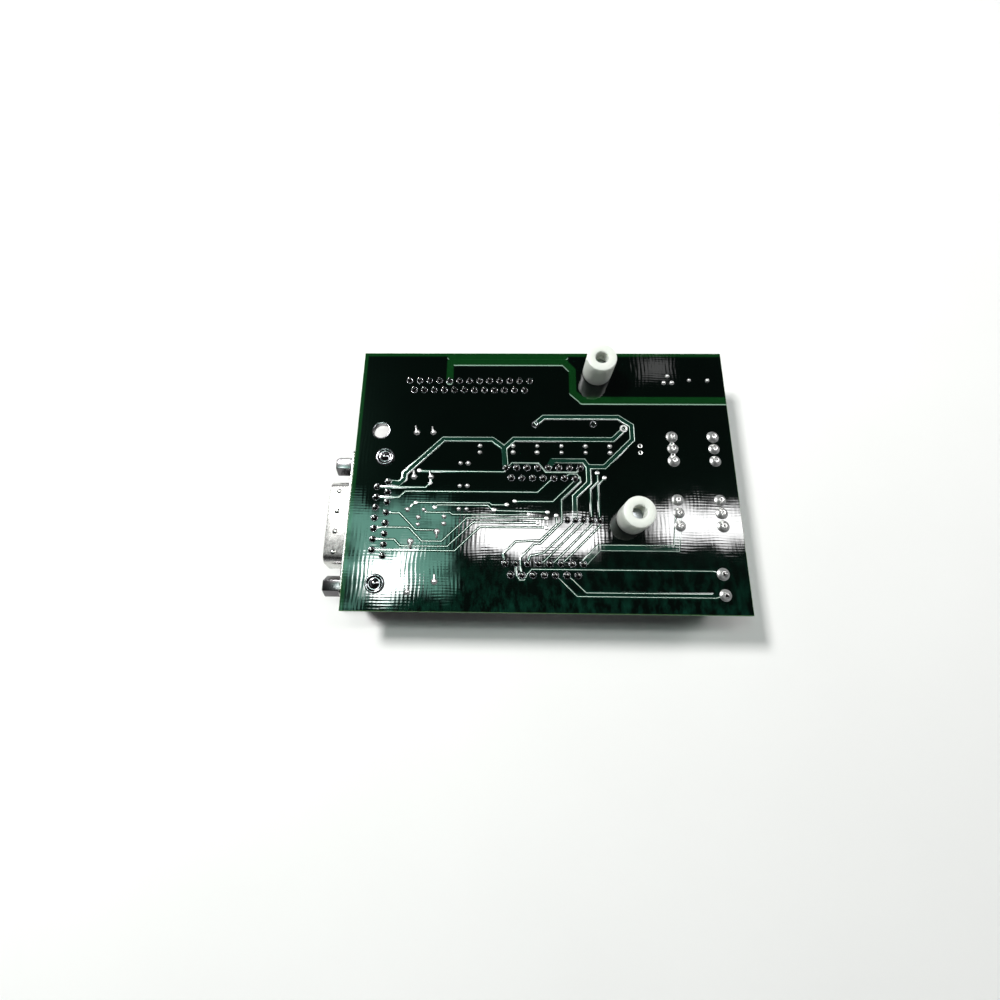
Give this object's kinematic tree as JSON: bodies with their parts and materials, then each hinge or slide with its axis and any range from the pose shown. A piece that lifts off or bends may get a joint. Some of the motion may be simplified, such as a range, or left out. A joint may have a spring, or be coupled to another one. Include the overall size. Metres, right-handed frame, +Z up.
{
  "type": "power control board",
  "caption": "Circuit board lying solder side up, with D-shaped connectors, tapped nylon spacers, relays and routed copper tracks.",
  "frame": {"origin": "middle of the whole part's footprint on the table", "axes": "+X along the board away from the side connector, +Y to the far long edge, +Z up, out of the solder side"},
  "size_m": [0.1072, 0.0716, 0.0222],
  "materials": {
    "laminate": "glass-epoxy laminate under glossy dark green solder mask",
    "masked_copper": "copper under glossy green solder mask",
    "tinned_shell": "tin-plated pressed steel",
    "connector_moulding": "black glass-filled thermoplastic",
    "plated_contact": "gold-flashed, tinned tails",
    "bracket_steel": "tin-plated steel",
    "tinned_lock": "tinned, soldered",
    "nickel_screw": "bright nickel plate",
    "nylon": "natural nylon, slightly translucent",
    "zinc_screw": "zinc plated",
    "header_nylon": "natural nylon",
    "tinned_wire": "tinned copper wire and solder",
    "dipped_epoxy": "dipped epoxy",
    "can_sleeve": "shrink sleeve",
    "film_box": "moulded box",
    "moulded_epoxy": "moulded black epoxy",
    "relay_cover": "moulded cover",
    "terminal_housing": "moulded polyamide"
  },
  "bodies": {
    "root": {"board_lock_far": "tinned_lock", "board_lock_near": "tinned_lock", "ceramic_capacitor_1": "dipped_epoxy", "ceramic_capacitor_2": "dipped_epoxy", "ceramic_capacitor_3": "dipped_epoxy", "ceramic_capacitor_4": "dipped_epoxy", "ceramic_capacitor_5": "dipped_epoxy", "ceramic_capacitor_6": "dipped_epoxy", "ceramic_capacitor_7": "dipped_epoxy", "ceramic_capacitor_8": "dipped_epoxy", "circuit_board": "laminate", "component_leads": "tinned_wire", "diode_leads": "tinned_wire", "driver_transistor": "moulded_epoxy", "electrolytic_1": "can_sleeve", "electrolytic_2": "can_sleeve", "electrolytic_3": "can_sleeve", "far_contacts": "plated_contact", "far_front_shell": "tinned_shell", "far_insulator": "connector_moulding", "far_rear_shell": "tinned_shell", "film_capacitor": "film_box", "header_base": "header_nylon", "header_pins": "tinned_wire", "jackscrew_far": "nickel_screw", "jackscrew_near": "nickel_screw", "middle_contacts": "plated_contact", "middle_front_shell": "tinned_shell", "middle_insulator": "connector_moulding", "middle_rear_shell": "tinned_shell", "mounting_bracket_far": "bracket_steel", "mounting_bracket_near": "bracket_steel", "near_contacts": "plated_contact", "near_front_shell": "tinned_shell", "near_insulator": "connector_moulding", "near_rear_shell": "tinned_shell", "nylon_spacer_1": "nylon", "nylon_spacer_2": "nylon", "power_diode_1": "moulded_epoxy", "power_diode_2": "moulded_epoxy", "power_diode_3": "moulded_epoxy", "power_diode_4": "moulded_epoxy", "relay_1": "relay_cover", "relay_2": "relay_cover", "relay_pins": "tinned_wire", "reservoir_capacitor": "can_sleeve", "side_contacts_long": "plated_contact", "side_contacts_short": "plated_contact", "side_front_shell": "tinned_shell", "side_insulator": "connector_moulding", "side_rear_shell": "tinned_shell", "solder_side_tracks": "masked_copper", "spacer_screw_1": "zinc_screw", "spacer_screw_2": "zinc_screw", "terminal_block": "terminal_housing", "terminal_pins": "tinned_wire", "terminal_screws": "zinc_screw"}
  },
  "joints": []
}
